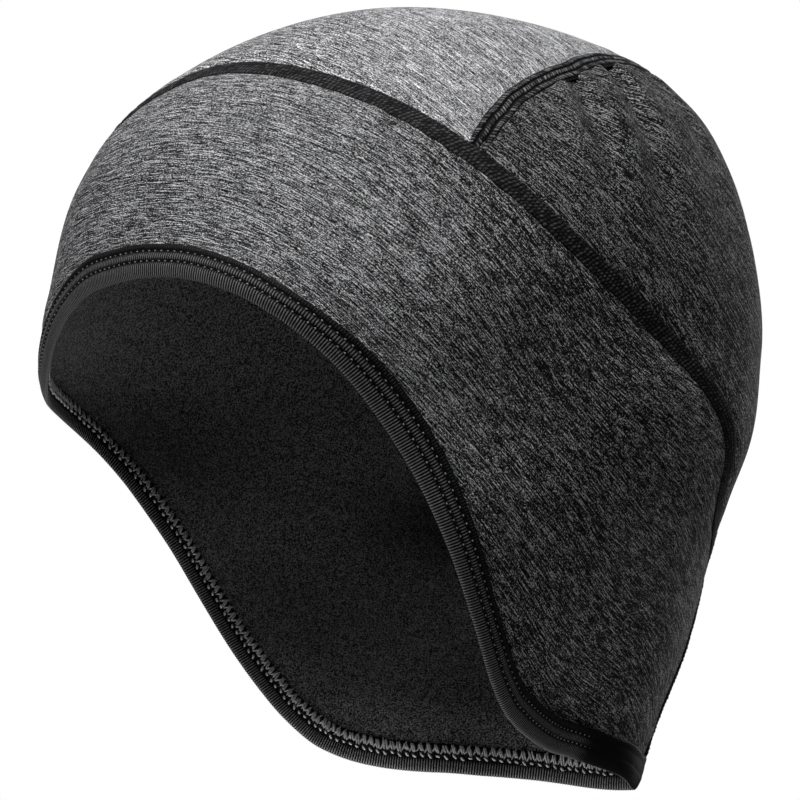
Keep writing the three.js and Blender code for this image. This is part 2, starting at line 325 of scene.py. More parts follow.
def laid_grid(name, points, uv, marks=None):
    """A grid of faces whose vertices are laid onto points, columns by rows, with edges that meet welded."""
    columns, rows = points.shape[0] - 1, points.shape[1] - 1
    bpy.ops.mesh.primitive_grid_add(x_subdivisions=columns, y_subdivisions=rows, size=1)
    piece = bpy.context.object
    piece.name = name
    mesh = piece.data
    flat = np.empty(len(mesh.vertices) * 3)
    mesh.vertices.foreach_get("co", flat)
    column = np.rint((flat[0::3] + 0.5) * columns).astype(int)
    row = np.rint((flat[1::3] + 0.5) * rows).astype(int)
    laid = (points[column, row] + (0, 0, lift)) * metres
    mesh.vertices.foreach_set("co", laid.ravel())
    corners = np.empty(len(mesh.loops), int)
    mesh.loops.foreach_get("vertex_index", corners)
    mesh.uv_layers[0].data.foreach_set("uv", (uv[column, row][corners] * metres).ravel())
    for mark, values in (marks or {}).items():
        attribute = mesh.attributes.new(mark, "FLOAT", "POINT")
        attribute.data.foreach_set("value", values[column, row].astype(np.float32))
    bpy.ops.object.mode_set(mode="EDIT")
    bpy.ops.mesh.select_all(action="SELECT")
    bpy.ops.mesh.remove_doubles(threshold=0.002 * metres)
    bpy.ops.object.mode_set(mode="OBJECT")
    return piece


def thickened(piece, thickness, offset):
    """Gives the sheet its thickness, with the edges between its faces and its rim kept crisp."""
    wall = piece.modifiers.new("wall", "SOLIDIFY")
    wall.thickness = thickness * metres
    wall.offset = offset
    bpy.ops.object.modifier_apply(modifier=wall.name)
    bpy.ops.object.shade_smooth_by_angle(angle=math.radians(50))


def finished(piece, material, node):
    """The piece takes its material, stands for its node and moves with the cap's one body."""
    piece.data.materials.clear()
    piece.data.materials.append(material)
    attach(piece, "root")
    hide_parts(node)
    piece.select_set(False)


class Wire:
    """A socket in a material's node tree. Sums that start with it add Math nodes."""

    def __init__(self, tree, socket):
        self.tree = tree
        self.socket = socket

    def node(self, kind, settings, sockets, output=0):
        """Adds any node: its settings first, then the values or links of its sockets."""
        made = self.tree.nodes.new(kind)
        for name, value in settings.items():
            setattr(made, name, value)
        for name, value in sockets.items():
            if isinstance(value, Wire):
                self.tree.links.new(value.socket, made.inputs[name])
            else:
                made.inputs[name].default_value = value
        return Wire(self.tree, made.outputs[output])

    def maths(self, operation, first, second):
        return self.node("ShaderNodeMath", {"operation": operation}, {0: first, 1: second})

    def __pow__(self, other):
        return self.maths("POWER", self, other)

    def __add__(self, other):
        return self.maths("ADD", self, other)

    def __mul__(self, other):
        return self.maths("MULTIPLY", self, other)

    def __sub__(self, other):
        return self.maths("SUBTRACT", self, other)

    def between(self, low, high):
        """0 below low, 1 above high and straight between."""
        sockets = {"Value": self, "From Min": low, "From Max": high}
        return self.node("ShaderNodeMapRange", {"clamp": True}, sockets)

    def mixed(self, dark, light):
        """The colour between two colours, with this as the share."""
        return self.node(
            "ShaderNodeMix", {"data_type": "RGBA"}, {"Factor": self, "A": dark, "B": light}, "Result"
        )

    def noise(self, scale, detail=2.0, roughness=0.5):
        """Soft noise whose grains are as large as scale, in millimetres along each axis of this vector."""
        counts = tuple(1 / (size * metres) for size in scale)
        sockets = {"Vector": self, "Scale": counts, "Rotation": (0.5, 0.3, 0.6)}
        turned = self.node("ShaderNodeMapping", {}, sockets)
        sockets = {"Vector": turned, "Scale": 1.0, "Detail": detail, "Roughness": roughness}
        return self.node("ShaderNodeTexNoise", {}, sockets)


def cloth_shader(name, roughness, sheen, gloss=0.15):
    """A new material for cloth, with its shader."""
    material = bpy.data.materials.new(name)
    material.use_nodes = True
    shader = material.node_tree.nodes["Principled BSDF"]
    shader.inputs["Roughness"].default_value = roughness
    shader.inputs["Specular IOR Level"].default_value = gloss
    shader.inputs["Sheen Weight"].default_value = sheen
    shader.inputs["Sheen Roughness"].default_value = 0.5
    return material, shader


def linked(shader, socket, wire):
    wire.tree.links.new(wire.socket, shader.inputs[socket])


def bumped(shader, height, distance):
    sockets = {"Height": height, "Distance": distance * metres, "Strength": 1.0}
    linked(shader, "Normal", height.node("ShaderNodeBump", {}, sockets))


def grey(level, blue=1.03):
    return (level, level, level * blue, 1.0)


tone_curve = 2.2
knit_relief = 0.5


def heather_knit(name, fibre, contrast, middle):
    """Melange yarn: short light and dark streaks along the grain, longer ones and the grain of the knit.

    Fibre is the share of light that the lightest fibres throw back. The tone runs from 0 to 1 in steps that
    the eye sees as even, around the middle. A mark on the mesh paints shade: above 0 it darkens the tone
    and strengthens the streaks where the panel lies in shade, over the ears and round the nape; below 0 it
    paints light.
    """
    material, shader = cloth_shader(name, 0.92, 0.0)
    tree = material.node_tree
    grain = Wire(tree, tree.nodes.new("ShaderNodeUVMap").outputs["UV"])
    # The mark read here is painted light and shade; stretch below carries that painted mark
    mark = tree.nodes.new("ShaderNodeAttribute")
    mark.attribute_name = "painted_light_and_shade"
    stretch = Wire(tree, mark.outputs["Fac"])
    streak = grain.noise((2.0, 0.26, 1), detail=0.0)
    stitch = grain.noise((0.45, 0.27, 1), detail=0.0)
    long = grain.noise((5.5, 0.26, 1), detail=0.0)
    cloud = grain.noise((9.0, 4.0, 1), detail=2.0)
    mixture = streak * 0.5 + stitch * 1.05 + long * 0.8 + cloud * 0.05 - 1.2
    # Painted shade: the mark lowers the tone and raises the streaks' contrast; below 0 it paints light
    tone = mixture * (stretch * 0.95 + contrast) + middle - stretch * 0.28
    linked(shader, "Base Color", (tone.between(0, 1) ** tone_curve).mixed(grey(0), grey(fibre)))
    bumped(shader, streak * 0.5 + stitch * 0.8 + long * 0.8, knit_relief)
    return material


band_turns = seam_turns(band_columns)
hem_turns, hem_length = even_turns(hem_line, -180, 180, band_columns)


def band_places():
    """The band's columns from inside the binding up to the crown seam."""
    edge = beside_line(hem_line, hem_turns, hidden_edge)
    fold = beside_line(hem_line, hem_turns, binding_width - 1)
    low_turn, low_climb = blended(edge, fold, rows_in_binding)
    high_turn, high_climb = blended(fold, climbed(crown_seam_line, band_turns, -panel_gap), band_rows)
    return np.hstack([low_turn[:, :-1], high_turn]), np.hstack([low_climb[:, :-1], high_climb])


seam_groove = {"depth": 0.25, "width": 3.0}
seam_roll = {"height": 0.3, "away": 6.5, "width": 3.5}
puckers = {"height": 0.04, "reach": 8.0}


def seam_pull(distance, along):
    """How a seam draws the cloth beside it: a groove at the thread, a soft roll and faint puckers."""
    groove = seam_groove["depth"] * np.exp(-((distance / seam_groove["width"]) ** 2))
    roll = seam_roll["height"] * np.exp(-(((distance - seam_roll["away"]) / seam_roll["width"]) ** 2))
    waves = np.sin(along / 1.15 + 1.7 * np.sin(along / 7.3)) + np.sin(along / 2.3)
    fade = np.exp(-((distance / puckers["reach"]) ** 2))
    return roll - groove + puckers["height"] * waves * fade


# How far the streaks fall below level towards the nape, beside the crown seam and beside the hem
band_grain = named_rows(
    ("turn", "high", "low"),
    [
        (0, 0, 0),
        (16, 5, 5),
        (28, 16, 15),
        (40, 27, 34),
        (52, 33, 46),
        (64, 46, 44),
        (76, 46, 54),
        (88, 39, 41),
        (100, 31, 25),
        (112, 25, 19),
        (124, 16, 18),
        (136, 20, 30),
        (180, 29, 30),
    ],
)

# Painted light and shade on the band, beside the hem and beside the crown seam: mostly from 0 to about 1,
# a painted shade over the ear and round the nape, and painted light where it drops below 0
band_painted_light_and_shade = named_rows(
    ("turn", "low", "high"),
    [
        (0, 0.15, 0.15),
        (15, 0.1, 0.08),
        (30, 0.0, -0.1),
        (44, -0.02, -0.24),
        (56, 0.0, -0.08),
        (66, 0.22, 0.38),
        (76, 0.68, 1.05),
        (86, 0.97, 1.5),
        (94, 0.97, 1.5),
        (104, 0.97, 1.2),
        (114, 1.0, 0.65),
        (124, 1.05, 0.22),
        (136, 1.05, 0.2),
        (180, 1.0, 0.3),
    ],
)


def streak_fall(table, turn, share):
    """The fall at a share of the way from the low edge to the high one, mirrored on the wearer's right."""
    around = folded_turn(turn)
    low = smooth_column(table, "turn", "low", around)
    high = smooth_column(table, "turn", "high", around)
    return (low + (high - low) * share) * np.where((turn + 540) % 360 < 180, -1, 1)


turn, climb = band_places()
level = outer_point(turn, climb)
below_seam = lengths_along(level[:, ::-1], 1)[:, ::-1]
above_hem = lengths_along(level, 1)
seam_run = lengths_along(outer_point(band_turns, crown_seam_line(band_turns)), 0)
seam_run = seam_run - np.interp(0.0, band_turns, seam_run)
along = np.repeat(seam_run[:, None], turn.shape[1], axis=1)
past_binding = np.maximum(above_hem + hidden_edge - binding_width, 0)
rise = seam_pull(below_seam, along) + seam_pull(past_binding, along * 1.1)
share = above_hem / (above_hem + below_seam)
grain = grain_map(turn, climb, streak_fall(band_grain, turn, share), column_step=9, row_step=8)
# Painted light and shade on the band, from the table above
low = smooth_column(band_painted_light_and_shade, "turn", "low", folded_turn(turn))
high = smooth_column(band_painted_light_and_shade, "turn", "high", folded_turn(turn))
painted_light_and_shade_marks = {"painted_light_and_shade": low + (high - low) * share**2}
side_band = laid_grid("side_band_knit", wall_point(turn, climb, -rise), grain, painted_light_and_shade_marks)
thickened(side_band, knit, -1)
band_knit = heather_knit("heather knit, band", fibre=0.49, contrast=1.52, middle=0.5)
finished(side_band, band_knit, "side_band")


# Front and top crown panel
# The same knit in a paler grey, partly a painted top light, from the forehead seam over the top of the head
# to the cross seam, with painted shade near the face below the top. It is laid on flat from ear to ear, so
# its streaks run across the head and sweep back a little at the sides.
top_rows = 50
grain_sweep = 190.0
front_painted_shade = 0.4
cross_seam = named_rows(
    ("turn", "height"),
    [
        (73, 38.0),
        (77, 45.8),
        (80, 50.1),
        (84, 54.5),
        (88, 58.0),
        (93, 61.2),
        (100, 64.6),
        (109, 68.8),
        (121, 72.3),
        (150, 74.5),
        (180, 75.0),
    ],
)


def cross_seam_line(turn):
    return climb_of(smooth_column(cross_seam, "turn", "height", folded_turn(turn)))


def crown_edge_line(turn):
    return np.where(folded_turn(turn) > cross_seam_start, cross_seam_line(turn), crown_seam_line(turn))


low = climbed(crown_edge_line, band_turns, panel_gap)
turn, climb = blended(low, (band_turns, np.full_like(band_turns, 90.0)), top_rows)
level = wall_point(turn, climb)
from_seam = lengths_along(level, 1)
from_top = from_seam[:, -1:] - from_seam
# Painted shade on the crown front: near the face and below the top
near_face = 1 - smooth_step(40, 64, folded_turn(turn))
under_top = 1 - smooth_step(62, 82, climb)
flat_x, flat_y = from_top * np.sin(np.radians(turn)), -from_top * np.cos(np.radians(turn))
rise = seam_pull(from_seam, np.repeat(seam_run[:, None], turn.shape[1], axis=1))
crown_front = laid_grid(
    "crown_front_knit",
    wall_point(turn, climb, -rise),
    np.stack([flat_x, flat_y - flat_x**2 / (2 * grain_sweep)], -1),
    {"painted_light_and_shade": front_painted_shade * near_face * under_top},
)
thickened(crown_front, knit, -1)
# Paler grey than the band, partly a painted top light
paler_knit_with_painted_light = heather_knit("heather knit, paler with painted top light", fibre=0.85, contrast=1.35, middle=0.53)
finished(crown_front, paler_knit_with_painted_light, "crown_front")


# Back crown panel
# The same knit behind the cross seam in a darker grey, partly painted shade, with more painted shade across
# the middle of the panel behind the ears. It is eased into that seam, which gathers it in soft folds that
# run down from the thread and die out over the back of the head.
back_rows = 60
back_painted_shade = 1.4
degree_length = 1.4
folds = [
    {"start": 116.5, "bend": -2.0, "end": 118.0, "depth": 2.0, "width": 2.6, "reach": 0.3},
    {"start": 101.5, "bend": 0.0, "end": 103.0, "depth": 1.5, "width": 2.4, "reach": 0.45},
    {"start": 91.0, "bend": 0.5, "end": 93.0, "depth": 0.15, "width": 2.2, "reach": 0.7},
    {"start": 132.0, "bend": 0.0, "end": 137.0, "depth": 0.9, "width": 3.0, "reach": 0.5},
    {"start": 151.0, "bend": 2.0, "end": 150.0, "depth": 1.0, "width": 3.0, "reach": 0.45},
    {"start": 171.0, "bend": -2.0, "end": 173.0, "depth": 0.8, "width": 3.0, "reach": 0.5},
]
back_grain = named_rows(
    ("turn", "high", "low"),
    [
        (73, 40, 40),
        (84, 38, 44),
        (94, 38, 48),
        (104, 36, 50),
        (114, 34, 54),
        (124, 33, 54),
        (134, 28, 50),
        (150, 16, 38),
        (165, 4, 15),
        (180, 0, 0),
    ],
)


def gathers(turn, share, below):
    """The folds under the cross seam, alike on both sides.

    Share is 0 at the crown seam and 1 at the cross seam, and below is the distance down from the thread.
    """
    total = 0.0
    fallen = 1 - share
    for fold in folds:
        middle = fold["start"] + (fold["end"] - fold["start"]) * fallen + 4 * fold["bend"] * fallen * share
        away = (folded_turn(turn) - middle) * degree_length
        width = fold["width"] * (1 + 1.8 * fallen)
        valley = np.exp(-((away / width) ** 2))
        shoulder = np.exp(-(((np.abs(away) - 2 * width) / width) ** 2))
        fade = smooth_step(fold["reach"] - 0.3, 0.92, share) * (0.4 + 0.6 * smooth_step(2, 8, below))
        total = total + fold["depth"] * fade * (0.45 * shoulder - valley)
    return total


behind = folded_turn(band_turns) >= cross_seam_start - 0.001
left, right = band_turns[behind & (band_turns > 0)], band_turns[behind & (band_turns < 0)]
back_turns = np.unique(np.concatenate([left, right + 360]).round(6))
tip_gap = panel_gap * smooth_step(cross_seam_start, cross_seam_start + 3, folded_turn(back_turns))
turn, climb = blended(
    climbed(crown_seam_line, back_turns, tip_gap), climbed(cross_seam_line, back_turns, -tip_gap), back_rows
)
level = wall_point(turn, climb)
from_seam = lengths_along(level, 1)
full = from_seam[:, -1:] + 1e-6
share = from_seam / full
along = np.interp(np.where(turn > 180, 360 - turn, turn), band_turns, seam_run)
along = np.where(turn > 180, 2 * seam_run[-1] - along, along)
eased = smooth_step(0, 30, full)
below = full - from_seam
rise = seam_pull(from_seam, along) + seam_pull(below, along) + gathers(turn, share, below)
grain = grain_map(turn, climb, streak_fall(back_grain, turn, share), column_step=9, row_step=6)
# Painted shade across the middle of the back panel, behind the ears
painted_light_and_shade_marks = {"painted_light_and_shade": back_painted_shade * smooth_step(94, 104, folded_turn(turn)) * share * (1 - share)}
crown_back = laid_grid("crown_back_knit", wall_point(turn, climb, -rise * eased), grain, painted_light_and_shade_marks)
thickened(crown_back, knit, -1)
# Darker grey than the band, partly painted shade
darker_knit_with_painted_shade = heather_knit("heather knit, darker with painted shade", fibre=0.31, contrast=3.1, middle=0.27)
finished(crown_back, darker_knit_with_painted_shade, "crown_back")


# Fleece lining
# One layer of black brushed fleece behind all the panels, with the short nap towards the head, a little
# slack behind the folds. It shows through the face opening, and its raw edge is shut in the binding.
lining_columns = 280
lining_rows = {"band": 44, "side": 18, "crown": 34}
edge_pinch = 1.6
lining_slack = 0.9
least_rise = 0.01
lining_turns = seam_turns(lining_columns)
lining_hem_turns, _ = even_turns(hem_line, -180, 180, lining_columns)
edge = beside_line(hem_line, lining_hem_turns, hidden_edge)
seam = (lining_turns, crown_seam_line(lining_turns))
crest = (lining_turns, crown_edge_line(lining_turns) + least_rise)
parts = [
    blended(edge, seam, lining_rows["band"]),
    blended(seam, crest, lining_rows["side"]),
    blended(crest, (lining_turns, np.full_like(lining_turns, 90.0)), lining_rows["crown"]),
]
turn = np.hstack([part[0][:, :-1] for part in parts[:2]] + [parts[2][0]])
climb = np.hstack([part[1][:, :-1] for part in parts[:2]] + [parts[2][1]])
above_hem = hidden_edge + lengths_along(outer_point(turn, climb), 1)
beside_folds = smooth_step(0, 18, climb) * (1 - smooth_step(56, 70, climb))
behind_folds = smooth_step(78, 92, folded_turn(turn)) * beside_folds
depth = lining_inside - edge_pinch * (1 - smooth_step(0, 20, above_hem)) + lining_slack * behind_folds
lining = laid_grid("fleece_lining_cloth", wall_point(turn, climb, depth), np.stack([turn, climb], -1))
thickened(lining, fleece, 1)


def brushed_fleece(name):
    """Black nap, matted into small tufts, with a little lint-like shine on the tufts."""
    material, shader = cloth_shader(name, 1.0, 0.1)
    tree = material.node_tree
    place = Wire(tree, tree.nodes.new("ShaderNodeTexCoord").outputs["Object"])
    tuft = place.noise((1.6, 1.6, 1.6), detail=2.0, roughness=0.6)
    fibre = place.noise((0.45, 0.45, 0.45), detail=1.0, roughness=0.7)
    nap = tuft * 0.2 + fibre * 0.8
    linked(shader, "Base Color", nap.between(0.43, 0.6).mixed(grey(0.002), grey(0.12)))
    bumped(shader, nap, 0.7)
    return material


finished(lining, brushed_fleece("brushed fleece"), "fleece_lining")


# Edge binding
# A ribbed elastic tape folded over the raw edges of knit and fleece all round, and held by two rows of
# stitching. The rows pull it down into two grooves, and the cloth of the tape rounds up between them.
rib_count = 780
columns_per_rib = 4
rib_height = 0.16
stitch_rows = (4.4, 7.4)
binding_columns = rib_count * columns_per_rib
binding_turns, _ = even_turns(hem_line, -180, 180, binding_columns)

# The tape is stretched more on the tight curves: how wide it lies outside, and how far its fold draws in
tape_lay = named_rows(
    ("turn", "width", "draw"),
    [
        (-180, 9.0, -0.3),
        (-160, 9.0, 0.4),
        (-145, 9.0, 0.4),
        (-132, 9.0, -0.2),
        (-117, 9.0, -0.6),
        (-103, 9.0, -0.3),
        (-75, 9.0, 0.2),
        (-55, 9.0, 0.1),
        (-44, 8.8, -1.4),
        (-34, 8.8, -1.2),
        (-26, 8.8, -0.3),
        (-15, 8.8, 0.3),
        (0, 8.8, 0.6),
        (10, 8.7, 0.6),
        (20, 8.2, 0.7),
        (30, 7.7, 0.6),
        (40, 7.0, -0.2),
        (47, 7.4, -0.3),
        (52, 8.3, 0.0),
        (58, 8.8, 0.4),
        (64, 8.0, 0.5),
        (70, 6.9, 0.9),
        (76, 7.6, 0.9),
        (85, 8.4, 0.8),
        (100, 8.4, 0.5),
        (115, 8.4, 0.0),
        (150, 8.7, -0.3),
        (180, 9.0, -0.3),
    ],
)

# The section of the tape from its outer edge over the fold to its inner edge, and back inside: the
# distance up from the hem, the depth, and how much of the rib height, and of the painted crest highlight,
# shows there
tape_section = named_rows(
    ("up", "depth", "rib"),
    [
        (9.5, -0.3, 0.0),
        (9.6, -0.45, 0.3),
        (9.3, -0.65, 0.5),
        (8.6, -0.75, 0.6),
        (7.9, -0.65, 0.4),
        (7.4, -0.45, 0.1),
        (6.9, -0.65, 0.7),
        (6.2, -0.8, 1.0),
        (5.4, -0.8, 1.0),
        (4.8, -0.6, 0.6),
        (4.4, -0.4, 0.1),
        (4.0, -0.5, 0.7),
        (3.3, -0.6, 1.0),
        (2.4, -0.45, 1.0),
        (1.5, -0.25, 1.0),
        (0.8, -0.05, 1.1),
        (0.3, 0.2, 1.2),
        (0.1, 0.45, 1.2),
        (0.3, 0.7, 1.2),
        (0.8, 0.9, 1.1),
        (1.6, 1.05, 1.0),
        (2.4, 1.15, 1.0),
        (3.1, 1.25, 0.8),
        (3.7, 1.25, 0.3),
        (4.5, 1.45, 0.6),
        (5.6, 1.55, 0.6),
        (6.8, 1.6, 0.6),
        (7.6, 1.6, 0.3),
        (7.9, 1.3, 0.0),
        (3.0, 1.0, 0.0),
        (1.6, 0.6, 0.0),
        (2.4, 0.1, 0.0),
        (9.5, -0.3, 0.0),
    ],
)
fold_depth = 0.45
flat_depth = -0.65


def lay_at(turn, up, outside):
    """How far up the wall a part of the tape lies, with the tape's stretch there."""
    stretch = np.where(outside, smooth_column(tape_lay, "turn", "width", turn) / binding_width, 1.0)
    return smooth_column(tape_lay, "turn", "draw", turn) + up * stretch


def at_nape(turn):
    """How far the tape is new and drawn tight, round the nape: its ribs and stitches sink in there, and the
    painted highlight on the rib crests gives way to painted shade.
    """
    return smooth_step(122, 140, folded_turn(turn))


turns = binding_turns[:, None]
up = tape_section["up"][None, :]
phase = np.arange(binding_columns + 1) % columns_per_rib
crest = (np.cos(2 * math.pi * phase / columns_per_rib)[:, None] + 1) / 2
depth = tape_section["depth"][None, :]
outside = depth < fold_depth
drawn_flat = 0.8 * at_nape(turns) * (outside & (up > 3) & (up < 9))
depth = depth + (flat_depth - depth) * drawn_flat
# Painted highlight on the rib crests and painted shade in the grooves; round the nape it fades to painted
# shade
painted_rib_light = crest * tape_section["rib"][None, :] * np.where(outside, 1 - 0.9 * at_nape(turns), 1)
rib = rib_height * painted_rib_light
at_fold = np.exp(-((up / 0.6) ** 2)) * (np.abs(depth - fold_depth) < 0.8)
place = beside_line(hem_line, turns, lay_at(turns, up - rib * at_fold, outside))
points = wall_point(*place, depth + np.where(outside, -rib, rib) * (1 - at_fold))
tape_run = np.cumsum(np.append(0, np.hypot(np.diff(tape_section["up"]), np.diff(tape_section["depth"]))))
hem_run = np.linspace(0, hem_length, binding_columns + 1)
binding = laid_grid(
    "edge_binding_tape",
    points,
    np.stack(np.broadcast_arrays(hem_run[:, None], tape_run[None, :]), -1),
    {"crest": painted_rib_light},
)
bpy.ops.object.shade_smooth_by_angle(angle=math.radians(60))


def ribbed_tape(name):
    """Black elastic tape: a painted highlight on the crest of each rib, and painted shade in the dull
    grooves.
    """
    material, shader = cloth_shader(name, 0.7, 0.0, 0.08)
    tree = material.node_tree
    run = Wire(tree, tree.nodes.new("ShaderNodeUVMap").outputs["UV"])
    mark = tree.nodes.new("ShaderNodeAttribute")
    mark.attribute_name = "crest"
    ridge = Wire(tree, mark.outputs["Fac"])
    thread = run.noise((0.35, 0.5, 1), detail=1.0, roughness=0.6)
    # The crest mark paints each rib's highlight and each groove's shade
    shade = (ridge * 1.5 + thread * 0.8 - 0.85).between(0, 1)
    linked(shader, "Base Color", (shade**1.7).mixed(grey(0.002), grey(0.17)))
    bumped(shader, thread, 0.08)
    return material


finished(binding, ribbed_tape("ribbed elastic tape"), "edge_binding")


# Stitching of the binding
# Two rows of grey needle thread outside, and inside the looper thread that joins them in a zigzag.
stitch_length = 2.1
stitch_count = round(hem_length / stitch_length)
needle_thread = {"cover": 0.26, "thickness": 0.36, "depth": -0.74, "sunk_at_nape": 0.6}
inner_rows = {"loops": 3.9, "low": 4.9, "high": 7.6, "depth": 1.72, "loose": 0.9}
looper_thickness = {"up": 0.7, "down": 0.62, "loop": 0.72}


def one_stitch(name, length, width, segments=6, rings=5):
    """One stitch of thread: a slim rounded stroke along X that dips at both ends."""
    bpy.ops.mesh.primitive_uv_sphere_add(segments=segments, ring_count=rings, radius=0.5)
    piece = bpy.context.object
    piece.name = name
    bpy.ops.object.mode_set(mode="EDIT")
    bpy.ops.mesh.select_all(action="SELECT")
    bpy.ops.transform.rotate(value=math.pi / 2, orient_axis="Y", center_override=(0, 0, 0))
    bpy.ops.transform.resize(value=(length, width, width))
    bpy.ops.object.mode_set(mode="OBJECT")
    return piece


def stitched(model, frames):
    """Copies a stitch to every frame and joins the copies. A frame holds its middle and three axes."""
    mesh = model.data
    count = len(mesh.vertices)
    shape = np.empty(count * 3)
    mesh.vertices.foreach_get("co", shape)
    shape = shape.reshape(-1, 3)
    middles, axes = frames
    points = middles[:, None, :] + np.einsum("vi,nij->nvj", shape, axes)
    faces = [tuple(face.vertices) for face in mesh.polygons]
    copies = [tuple(v + n * count for v in face) for n in range(len(middles)) for face in faces]
    joined = bpy.data.meshes.new(model.name)
    joined.from_pydata(((points + (0, 0, lift)) * metres).reshape(-1, 3).tolist(), [], copies)
    model.data = joined
    bpy.data.meshes.remove(mesh)
    model.select_set(True)
    bpy.context.view_layer.objects.active = model
    bpy.ops.object.shade_smooth()
    return model


def strokes(starts, ends, outward, thickness):
    """Frames for strokes from starts to ends, each as long as its own run."""
    run = ends - starts
    side = unit(np.cross(outward, run)) * thickness
    over = unit(np.cross(run, side)) * thickness
    return (starts + ends) / 2, np.stack([run, side, over], 1)


def outward_at(turn, climb):
    across, up = wall_steps(turn, climb)
    return unit(np.cross(across, up))


def scatter(first, second):
    """Values from 0 to 1 without a pattern, one for each pair of whole numbers."""
    return np.sin(first * 12.99 + second * 78.23) * 43758.5 % 1


def needle_row(up):
    turns, _ = even_turns(hem_line, -180, 180, stitch_count)
    first, last = turns[:-1], turns[:-1] + np.diff(turns) * needle_thread["cover"]
    a = beside_line(hem_line, first, lay_at(first, up, True))
    b = beside_line(hem_line, last, lay_at(last, up, True))
    depth = needle_thread["depth"] + needle_thread["sunk_at_nape"] * at_nape(first)
    return strokes(wall_point(*a, depth), wall_point(*b, depth), outward_at(*a), needle_thread["thickness"])


def joined_frames(groups):
    return np.concatenate([g[0] for g in groups]), np.concatenate([g[1] for g in groups])


def thread_material(name, dark, light):
    material, shader = cloth_shader(name, 0.8, 0.0)
    tree = material.node_tree
    place = Wire(tree, tree.nodes.new("ShaderNodeTexCoord").outputs["Object"])
    twist = place.noise((0.3, 0.3, 0.3), detail=2.0, roughness=0.6)
    linked(shader, "Base Color", twist.between(0.3, 0.7).mixed(grey(dark), grey(light)))
    bumped(shader, twist, 0.1)
    return material


needle_rows = joined_frames([needle_row(up) for up in stitch_rows])
needle = stitched(one_stitch("binding_needle_thread", 1, 1), needle_rows)
needle.data.materials.append(thread_material("grey needle thread", dark=0.1, light=0.33))
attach(needle, "root")
needle.select_set(False)


def looper_zigzag():
    """The looper thread inside: a doubled zigzag, and a row of slanted loops nearer to the fold."""
    turns, _ = even_turns(hem_line, -180, 180, stitch_count)
    first, last = turns[:-1], turns[1:]
    middle = (first + last) / 2
    depth = inner_rows["depth"]
    inward = -outward_at(middle, hem_line(middle))
    count = np.arange(stitch_count)

    def at(turns, up, salt):
        loose = up + inner_rows["loose"] * (scatter(count, salt) - 0.5)
        return wall_point(*beside_line(hem_line, turns, lay_at(turns, loose, False)), depth)

    groups = []
    low, high, loops = inner_rows["low"], inner_rows["high"], inner_rows["loops"]
    for shift in (0.0, 0.26):
        step = (last - first) * (shift + 0.2 * scatter(count, 3 + shift))
        up = at(first + step, low, 1), at(middle + step, high, 2)
        groups.append(strokes(*up, inward, looper_thickness["up"]))
    down = at(middle, high, 4), at(last, low, 5)
    groups.append(strokes(*down, inward, looper_thickness["down"]))
    step = (last - first) * 0.55
    loop = at(first, loops - 0.2, 6), at(first + step, loops + 0.6, 7)
    groups.append(strokes(*loop, inward, looper_thickness["loop"]))
    return joined_frames(groups)


looper = stitched(one_stitch("binding_looper_thread", 1, 1), looper_zigzag())
looper.data.materials.append(thread_material("light looper thread", dark=0.1, light=0.42))
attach(looper, "root")
looper.select_set(False)


# Crown seam
# A flatlock seam all round between the band and the crown. Its cover threads loop over each other in close
# rows and make a flat, pebbled strip of dark thread.
seam_half = 2.75
seam_height = 0.4
under_cloth = 0.2
loop_pitch = 1.15
loop_rows = 5
steps_across = 28


def strip_section(rows):
    """Offsets across a strip from its lower edge over the top to its upper edge, and back underneath."""
    across = np.linspace(-1, 1, rows + 1)
    return np.concatenate([across, [0.97, 0.0, -0.97, -1.0]]), np.arange(rows + 5) <= rows


def with_closed_ends(points):
    """Draws each end of an open strip together to one point, which closes it."""
    for end in (0, -1):
        points[end] = points[end].mean(0)
    return points


def seam_strip(name, line, turns, half, pattern, wander=0.0, middle=0.0, ends=False):
    """A low closed strip of thread along a line, whose top is shaped by a pattern of its run and offset."""
    across, on_top = strip_section(steps_across)
    run = lengths_along(outer_point(turns, line(turns)), 0)[:, None]
    offset = across[None, :] * half + middle
    dome = 1 - np.abs(across[None, :]) ** 6
    bump, mark = pattern(run, offset)
    sunk = 0.35 * (1 - smooth_step(0, 6, np.minimum(run, run[-1] - run))) if ends else 0.0
    top = seam_height * dome + bump * dome - sunk
    rise = np.where(on_top[None, :], top, -under_cloth)
    sway = wander * (np.sin(run / 2.9) * 0.6 + np.sin(run / 1.7 + 1.0) * 0.4)
    place = beside_line(line, turns[:, None], offset + sway)
    points = wall_point(*place, -rise)
    if ends:
        points = with_closed_ends(points)
    uv = np.stack(np.broadcast_arrays(run, offset), -1)
    return laid_grid(name, points, uv, {"crest": np.broadcast_to(mark, rise.shape) * on_top[None, :]})


def loops_over(run, offset):
    """Rows of small slanted loops of uneven height."""
    row = offset / (2 * seam_half) * loop_rows
    index = np.floor(row + loop_rows / 2)
    within = np.cos(math.pi * (row + loop_rows / 2 - index - 0.5))
    slip = index % 2 * 0.3 + 0.2 * np.sin(run / 2.3 + index * 2.4)
    turned = run / loop_pitch + slip - offset * 0.45
    loop = 0.5 + 0.5 * np.cos(2 * math.pi * turned)
    crest = np.sqrt(np.clip(within, 0, 1)) * loop**0.7
    crest = crest * (0.35 + 0.65 * scatter(np.floor(turned + 0.5), index))
    return 0.3 * crest - 0.12, crest


